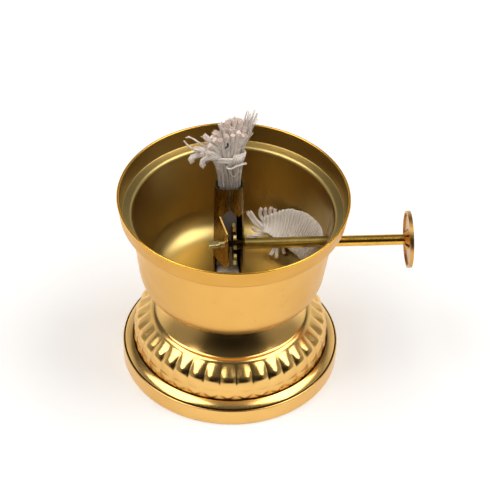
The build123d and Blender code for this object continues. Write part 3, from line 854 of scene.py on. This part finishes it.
def make_bowl():
    """Spun sheet bowl: flat floor, round corner, sloping wall, ledge and band."""
    band_radius = lip_radius - band_draft
    band_foot = lip_height - band_height
    ledge_radius = band_radius - ledge_width
    lip_round = bowl_sheet / 2
    corners = [
        (0, bowl_foot),
        (ledge_radius - wall_draft, bowl_foot),
        (ledge_radius, band_foot - ledge_drop),
        (band_radius, band_foot),
        (lip_radius, lip_height - lip_round),
    ]
    outer = rounded(corners, [corner_radius, ledge_inner_round, ledge_outer_round], corner_steps)
    inner = rounded(
        moved_in(corners, bowl_sheet),
        [corner_radius - bowl_sheet, ledge_inner_round + bowl_sheet, ledge_outer_round - bowl_sheet],
        corner_steps,
    )
    # The floor and the wall get more points, between those of the rounded corner
    wall_start = corner_steps + 1
    floor = run(outer[0], outer[1], 12)
    wall = run(outer[wall_start], outer[wall_start + 1], 14)
    section = [outer[0]] + floor + outer[2:wall_start + 1] + wall + outer[wall_start + 2:]
    section += arc(outer[-1], inner[-1], -lip_round, 10)
    section += inner[-2::-1]
    bowl = turned("bowl_skin", section, bowl_columns, satin_gold)
    work = bmesh.new()
    bmesh.ops.create_cone(
        work, cap_ends=True, segments=48, depth=lip_radius,
        radius1=spindle_hole_radius, radius2=spindle_hole_radius,
        matrix=Matrix.Translation((lip_radius, 0, spindle_height)) @ Matrix.Rotation(math.pi / 2, 4, "Y"),
    )
    drill = linked("spindle_hole", as_mesh(work, "spindle_hole"))
    cut = bowl.modifiers.new("hole", "BOOLEAN")
    cut.object = drill
    cut.operation = "DIFFERENCE"
    cut.solver = "EXACT"
    pierced = finished(shown_mesh(bowl), satin_gold, bare_brass, lip_painted_highlight, band_painted_reflection)
    bowl.modifiers.clear()
    bowl.data = pierced
    bpy.data.objects.remove(drill)
    # Faces that look inwards or well up are the bowl's inside
    for face in pierced.polygons:
        out = Vector((face.center.x, face.center.y, 0)).normalized()
        inside = face.normal.dot(out) < -0.05 or face.normal.z > 0.3
        # The lip's faces get the painted highlight
        on_lip = face.center.z > lip_height - lip_round
        # The band's outer faces get the painted darker reflection
        on_band = face.center.z > band_foot
        face.material_index = 2 if on_lip else 1 if inside else 3 if on_band else 0
    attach(bowl, "lamp")
    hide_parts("bowl")


def make_foot():
    """Pressed sheet foot: neck, ridge, ring of gadroons, bead between two creases, plinth and hem."""
    bead_top = plinth_height + bead_rise
    bead_radius = plinth_radius - bead_width
    gadroon_radius = bead_radius - gadroon_step
    gadroon_top = bead_top + gadroon_rise
    ridge_radius = gadroon_radius - gadroon_run
    neck = (neck_radius, foot_height)
    neck_foot = (ridge_radius - ridge_width, gadroon_top + ridge_rise)
    ridge = (ridge_radius, gadroon_top)
    gadroon = (gadroon_radius, bead_top)
    bead = (bead_radius, bead_top)
    rim = (plinth_radius - plinth_round, plinth_height - rim_drop)
    plinth = (rim[0] - crease_width, plinth_height)
    section = [(0, foot_height)] + run((0, foot_height), neck, 6)
    section += arc(neck, neck_foot, -neck_hollow, 22)
    section += arc(neck_foot, ridge, ridge_crown, 8)
    first = len(section) - 1
    shoulder = (ridge_radius + gadroon_shoulder[0], gadroon_top - gadroon_shoulder[1])
    slope = rounded([ridge, shoulder, gadroon], [gadroon_round], 24)
    section += run(ridge, slope[1], 12) + slope[2:-1] + run(slope[-2], gadroon, 16)
    last = len(section) - 1
    crease_foot = bead_top - crease_depth
    section += [(gadroon_radius + crease_lean, crease_foot), (bead_radius - crease_lean, crease_foot)]
    section += [bead] + arc(bead, plinth, bead_crown, 14)
    crease_foot = plinth_height - crease_depth
    section += [(plinth[0] + crease_lean, crease_foot), (rim[0] - crease_lean, crease_foot)]
    edge_crown = 0.3 * plinth_round
    section += [rim] + arc(rim, (plinth_radius, rim[1] - plinth_round), edge_crown, 6)
    rest = (plinth_radius, plinth_round)
    section += run(section[-1], rest, 6)
    section += arc(rest, (plinth_radius - plinth_round, 0), edge_crown, 5)
    section += run(section[-1], (plinth_radius - hem_width, 0), 3)
    # Inside of the sheet, from the hem up to the neck
    inside = plinth_radius - foot_sheet
    section += [(plinth_radius - hem_width, foot_sheet), (inside, foot_sheet)]
    section += [(inside, plinth_height - foot_sheet), (bead_radius - foot_sheet, bead_top - foot_sheet)]
    section += arc(section[-1], (ridge[0] - foot_sheet, ridge[1] - foot_sheet), -gadroon_crown, 10)
    section += [(neck_foot[0] - foot_sheet, neck_foot[1] - foot_sheet)]
    section += arc(section[-1], (neck[0] - foot_sheet, neck[1] - foot_sheet), neck_hollow, 10)
    section += [(0, foot_height - foot_sheet)]

    def lobe_at(i):
        """Width share and lift of a gadroon at a point of the section: round below, fading above."""
        up = (last - i) / (last - first)
        if not 0 < up < 1:
            return 0.0, 0.0
        toe = ramp_up(up, toe_start, toe_length)
        width = gadroon_share * math.sqrt(1 - (1 - toe) ** 2)
        rise = ramp_up(up, lift_start, lift_length)
        head = math.sin(math.pi / 2 * min(1.0, (1 - up) / head_length))
        return width, (gadroon_toe_lift + (gadroon_lift - gadroon_toe_lift) * rise) * head

    foot = turned("foot_skin", section, foot_columns, pressed_gold, gadroon_count, lobe_at)
    foot.data.materials.append(crease_painted_shade)
    # The bottoms of both creases get the painted crease shade
    creases = [(gadroon_radius, bead_radius, bead_top), (plinth[0], rim[0], plinth_height)]
    for face in foot.data.polygons:
        radius = face.center.xy.length
        for near, far, top in creases:
            if near < radius < far and top - 1.1 * crease_depth < face.center.z < top:
                face.material_index = 1
    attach(foot, "lamp")
    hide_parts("foot")


def from_mouth(paths):
    """Paths whose points are given in millimetres from the middle of the sleeve's mouth."""
    return [[mouth + Vector(point) * MM for point in path] for path in paths]


def yarn_path(tip, lift, root=None):
    """A path from inside the sleeve's mouth up and out to a tip, in millimetres from the mouth."""
    root_x, root_y = root or [
        max(-reach, min(reach, share * place)) for reach, share, place in zip(root_reach, root_share, tip)
    ]
    x, y, z = [share * place for share, place in zip(bend_share, tip)]
    bend = (x + bend_pull * root_x, y + bend_pull * root_y, z + lift)
    return [(root_x, root_y, height) for height in root_heights] + [bend, tip]


def make_tuft():
    """Core yarns that fan out of the sleeve, fine threads beside them, strays and fuzz."""
    fillers = []
    for tip in yarn_tips[::2]:
        x, y = [
            share * place + random.uniform(-scatter, scatter)
            for share, place, scatter in zip(filler_share, tip, filler_scatter)
        ]
        fillers.append((x, y, random.uniform(*filler_height) * tip[2]))
    yarns = from_mouth([yarn_path(tip, 1.0) for tip in yarn_tips + fillers] + drooping_yarns)
    core = spun(
        "tuft_core", yarns, wick_cotton, radii=(0.0, 0.0), fibre=0.68,
        ragged=0.08, blunt=0.12, sides=8, steps=20, fibres=1, seed=3,
    )
    fibres = spun(
        "tuft_fibres", yarns, wick_cotton, radii=(0.6, 0.86), fibre=0.14, wander=0.8,
        twist=yarn_twist, ragged=0.06, blunt=0.12, steps=12, fibres=28, seed=4,
    )
    fuzz = spun(
        "tuft_fuzz", yarns, wick_cotton, radii=(0.8, 1.1), fibre=0.055, wander=2.4,
        twist=200.0, ragged=0.5, blunt=0.3, sides=3, steps=12, fibres=14, seed=8,
    )
    fine_paths = from_mouth([yarn_path(tip, 0.3, fine_root) for tip in fine_tips])
    fine = spun(
        "tuft_fine", fine_paths, wick_cotton, radii=(0.45, 0.8), fibre=0.1, wander=1.0,
        ragged=0.25, blunt=0.2, steps=14, fibres=8, seed=5,
    )
    strays = spun(
        "tuft_strays", from_mouth(stray_threads), wick_cotton, radii=(0.22, 0.2), fibre=0.13, wander=0.25,
        twist=900.0, ragged=0.06, steps=16, fibres=6, seed=6,
    )
    fleck = spun(
        "tuft_fleck", from_mouth([fleck_path]), dark_thread, radii=(0.16, 0.12), fibre=0.13,
        steps=10, fibres=4, seed=7,
    )
    tuft = joined("wick_yarns", [core, fibres, fuzz, fine, strays, fleck])
    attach(tuft, "wick")
    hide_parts("wick_core")


def cup(share):
    """Middle, half width and half depth of the sleeve's open end, from the tube's top to the mouth."""
    up = max(0.0, share) ** cup_bend
    middle = mouth.xy.to_3d() + Vector((-cup_lean * up, 0, tube_top + share * (mouth.z - tube_top)))
    return middle, cup_foot[0] + cup_flare[0] * up, cup_foot[1] + cup_flare[1] * up


def sleeve_rings():
    """Rings of the sleeve from the channel's foot, flat behind the wheel, to the full mouth."""
    across, back = Vector((1, 0, 0)), Vector((0, 1, 0))
    places = []
    for y, z, half_width, deep in channel_stations:
        places.append((Vector((mouth.x, y * MM, z * MM)), deep, half_width * MM, flat_half[1]))
    flat_y = sleeve_high.y - sleeve_spread - flat_half[1]
    for z in flat_heights:
        places.append((Vector((mouth.x, flat_y, z * MM)), back, *flat_half))
    places.append((Vector((mouth.x, mouth.y + throat_back, throat_height)), back, *throat_half))
    for share in cup_shares:
        middle, half_width, half_depth = cup(share)
        places.append((middle, back, half_width - cup_backing, half_depth - cup_backing))
    return [oval(middle, across, deep, wide, thick, sleeve_columns) for middle, deep, wide, thick in places]


def make_sleeve():
    """Woven sleeve: a soft tube, and on its free end the threads that it is woven from."""
    tube = lofted("wick_sleeve_cloth", sleeve_rings(), shaded_cotton)
    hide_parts("wick_sleeve")
    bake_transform(tube)
    threads = []
    for k in range(thread_count):
        turn = math.tau * (k + random.uniform(-thread_scatter, thread_scatter)) / thread_count
        lean = random.gauss(0, thread_lean)
        swing = random.uniform(-thread_swing, thread_swing)
        stand_out = random.uniform(-thread_stand, thread_stand) * MM
        top = thread_top + thread_slant * math.cos(turn) + random.uniform(-0.03, 0.05)
        path = []
        for part in thread_shares:
            share = part * top
            angle = turn + lean * share + swing * math.sin(math.tau * share)
            middle, half_width, half_depth = cup(share)
            x = math.cos(angle) * (half_width + stand_out)
            y = math.sin(angle) * (half_depth + stand_out)
            path.append(middle + Vector((x, y, 0)))
        threads.append(path)
    woven = spun(
        "sleeve_threads", threads, sleeve_cotton, radii=(0.16, 0.3), fibre=0.14, wander=0.3,
        twist=600.0, ragged=0.05, steps=12, fibres=5, seed=9,
    )
    crossing = spun(
        "sleeve_crossing", from_mouth(crossing_threads), wick_cotton, radii=(0.14, 0.14), fibre=0.1,
        wander=0.2, twist=900.0, steps=16, fibres=4, seed=10,
    )
    ends = joined("wick_sleeve_threads", [woven, crossing])
    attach(ends, "wick")


def make_tie():
    """Thread wound round the sleeve's mouth, with a fold over it and loose ends on the right."""
    middle, half_width, half_depth = cup(1.0)
    turns = []
    for k in range(tie_turns):
        path = []
        for step in range(tie_steps + 1):
            angle = math.tau * step / tie_steps
            x = math.cos(angle) * (half_width + tie_gap + tie_wobble * math.sin(3 * angle + k))
            y = math.sin(angle) * (half_depth + tie_gap + tie_wobble * math.sin(2 * angle + k))
            drift = tie_step * (k - (tie_turns - 1) / 2) + tie_drift * math.sin(2 * angle + 1.7 * k)
            path.append(middle + Vector((x, y, tie_height + tie_slope * x + drift)))
        turns.append(path)
    wound = spun(
        "tie_turns", turns, wick_cotton, radii=(0.3, 0.3), fibre=0.15,
        twist=800.0, steps=64, fibres=7, seed=11,
    )
    folds = from_mouth([[(x + place, y, z) for x, y, z in fold_path] for place in fold_places])
    fold = spun(
        "tie_fold", folds, wick_cotton, radii=(0.34, 0.34), fibre=0.15, wander=0.15,
        twist=400.0, steps=14, fibres=7, seed=13,
    )
    free = spun(
        "tie_ends", from_mouth(tie_ends), wick_cotton, radii=(0.24, 0.24), fibre=0.13, wander=0.15,
        twist=500.0, ragged=0.06, steps=18, fibres=7, seed=12,
    )
    tie = joined("wick_tie_thread", [wound, fold, free])
    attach(tie, "wick")
    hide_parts("wick_tie")


def tail_line():
    """Points along the tail's smooth line, read from its spline."""
    holder = route("tail_line", [tail_route], 16)
    mesh = shown_mesh(holder)
    bpy.data.objects.remove(holder)
    return [v.co.copy() for v in mesh.vertices]


def tail_frame(line, i):
    """Width and thickness directions of the tape at a point of its line, its half width and its curl."""
    share = i / (len(line) - 1)
    way = (line[min(i + 1, len(line) - 1)] - line[max(i - 1, 0)]).normalized()
    level = Vector((way.y, -way.x, 0)).normalized()
    upright = level.cross(way)
    stand = math.radians(value_at(tail_stand, share))
    across = level * math.cos(stand) + upright * math.sin(stand)
    # Two waves keep the tape's edges from being even
    fast, slow = tail_wave_rates
    wave = 1 + tail_wave * (math.sin(fast * i) + math.sin(slow * i + 1.0))
    half_width = value_at(tail_half_width, share) * wave * MM
    return across, across.cross(way), half_width, value_at(tail_curl, share) * MM


def make_tail():
    """The wick's tail: a flat woven tape that lies in the bowl, its cross threads and its frayed end."""
    line = tail_line()
    rings, winding = [], []
    angle = 0.0
    for i, centre in enumerate(line):
        across, deep, half_width, curl = tail_frame(line, i)
        half = (half_width, tail_half_depth)
        rings.append(oval(centre, across, deep, *half, tail_columns, power=2.4, curl=curl))
    for i in range(len(line) - 1):
        across, deep, half_width, curl = tail_frame(line, i)
        step = (line[i + 1] - line[i]).length
        gap = value_at(tail_thread_gap, i / (len(line) - 1)) * MM
        parts = max(2, round(weave_steps * step / gap))
        for k in range(parts):
            centre = line[i].lerp(line[i + 1], k / parts)
            u, v = math.cos(angle), math.sin(angle)
            thick = tail_half_depth * weave_depth * v + curl * (u * u - curl_level)
            winding.append(centre + across * half_width * weave_width * u + deep * thick)
            angle += math.tau * step / (parts * gap)
    tape = lofted("wick_tail_tape", rings, woven_cotton)
    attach(tape, "lamp")
    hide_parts("wick_tail")
    weave = spun(
        "tail_threads", [winding], woven_cotton, radii=(0.0, 0.0), fibre=0.34, wander=0.7,
        blunt=0.0001, sides=5, steps=len(winding), fibres=1, seed=21,
    )
    loose = [[Vector(point) * MM for point in yarn] for yarn in fray_yarns]
    fray = spun(
        "tail_fray", loose, wick_cotton, radii=(0.45, 0.48), fibre=0.14, wander=0.5,
        twist=yarn_twist, ragged=0.07, blunt=0.1, steps=18, fibres=14, seed=22,
    )
    threads = joined("wick_tail_threads", [weave, fray])
    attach(threads, "lamp")


def finish_nodes():
    """Finishes of the CAD pieces that stay as they are."""
    finishes = {
        "wick_holder": rolled_brass, "feed_wheel": wheel_brass, "spindle": rod_brass,
        "knob_disc": knob_brass, "bowl_stud": zinc_steel, "stud_washer": zinc_steel, "stud_nut": zinc_steel,
    }
    for name, finish in finishes.items():
        finished(nodes[name].data, finish)


def make_floor():
    """Pale paper floor, with a glow of its own where it is seen or mirrored."""
    work = bmesh.new()
    bmesh.ops.create_circle(work, cap_ends=True, segments=64, radius=floor_radius)
    floor = linked("floor", as_mesh(work, "floor"))
    paper = bpy.data.materials.new("white_paper")
    node = emptied(paper)
    path = node("LightPath").outputs
    seen = node("Math", (path["Is Camera Ray"], path["Is Glossy Ray"]), operation="MAXIMUM")
    seen = node("Math", (seen, path["Is Transmission Ray"]), operation="MAXIMUM")
    glow = node("Math", (seen, floor_glow), operation="MULTIPLY")
    matt = node("BsdfDiffuse", {"Color": rgb("#f7f6f4")})
    white = node("Emission", {"Color": (1, 1, 1, 1), "Strength": glow})
    node("OutputMaterial", {"Surface": node("AddShader", (matt, white))})
    floor.data.materials.append(paper)


def make_sky():
    """Studio round the lamp: darker in front, with cards at the sides and a pale sweep low at the back."""
    world = bpy.data.worlds.new("studio")
    bpy.context.scene.world = world
    node = emptied(world)
    way = node("SeparateXYZ", (node("TexCoord").outputs["Generated"],)).outputs
    ramp = node("ValToRGB", (way[2],))
    set_stops(ramp.color_ramp, [(place, (level, level, level, 1)) for place, level in sky_levels])
    front = node("MapRange", {"Value": way[1], 1: -0.85, 2: -0.25, 3: 0.2, 4: 1.0})
    shaded = node("Math", (ramp, front), operation="MULTIPLY")
    sideways = node("Math", (way[0],), operation="ABSOLUTE")
    cards = node("MapRange", {"Value": sideways, 1: 0.6, 2: 0.85, 3: 0.0, 4: 0.25})
    behind = node("MapRange", {"Value": way[1], 1: 0.2, 2: 0.55, 3: 0.0, 4: 0.55})
    low = node("MapRange", {"Value": way[2], 1: 0.42, 2: 0.56, 3: 1.0, 4: 0.0})
    sweep = node("Math", (low, behind), operation="MULTIPLY")
    level = node("Math", (shaded, cards), operation="ADD")
    level = node("Math", (level, sweep), operation="ADD")
    sky = node("Background", {"Color": (1, 1, 1, 1), "Strength": level})
    node("OutputWorld", {"Surface": sky})


def make_lamps():
    """Two softboxes over the lamp, and a fill for cotton and floor that metal doesn't mirror."""
    for name, (place, size, power, mirrored) in lamps.items():
        lamp = bpy.data.lights.new(name, "AREA")
        lamp.shape = "RECTANGLE"
        lamp.size, lamp.size_y = size
        lamp.energy = power
        holder = linked(name, lamp)
        holder.location = place
        way = Vector((0, 0, aim_height)) - Vector(place)
        holder.rotation_euler = way.to_track_quat("-Z", "Y").to_euler()
        holder.visible_glossy = mirrored


def make_camera():
    """The camera at the photograph's place."""
    a, e = camera_azimuth, camera_elevation
    back = Vector((math.sin(a) * math.cos(e), -math.cos(a) * math.cos(e), math.sin(e)))
    right = Vector((math.cos(a), math.sin(a), 0))
    up = back.cross(right)
    side = right * math.cos(camera_roll) + up * math.sin(camera_roll)
    top = up * math.cos(camera_roll) - right * math.sin(camera_roll)
    place = right * aim_right + Vector((0, 0, aim_height)) + back * camera_distance
    lens = bpy.data.cameras.new("camera")
    lens.sensor_width = sensor_width
    lens.lens = focal_pixels * sensor_width / picture_pixels
    lens.clip_start = 0.05
    lens.clip_end = 20
    camera = linked("camera", lens)
    camera.matrix_world = Matrix(((*side, 0), (*top, 0), (*back, 0), (*place, 1))).transposed()
    bpy.context.scene.camera = camera


bpy.context.scene.view_settings.view_transform = "Standard"
make_floor()
make_sky()
make_lamps()
make_camera()
make_tail()
make_bowl()
make_foot()
finish_nodes()
make_sleeve()
make_tuft()
make_tie()
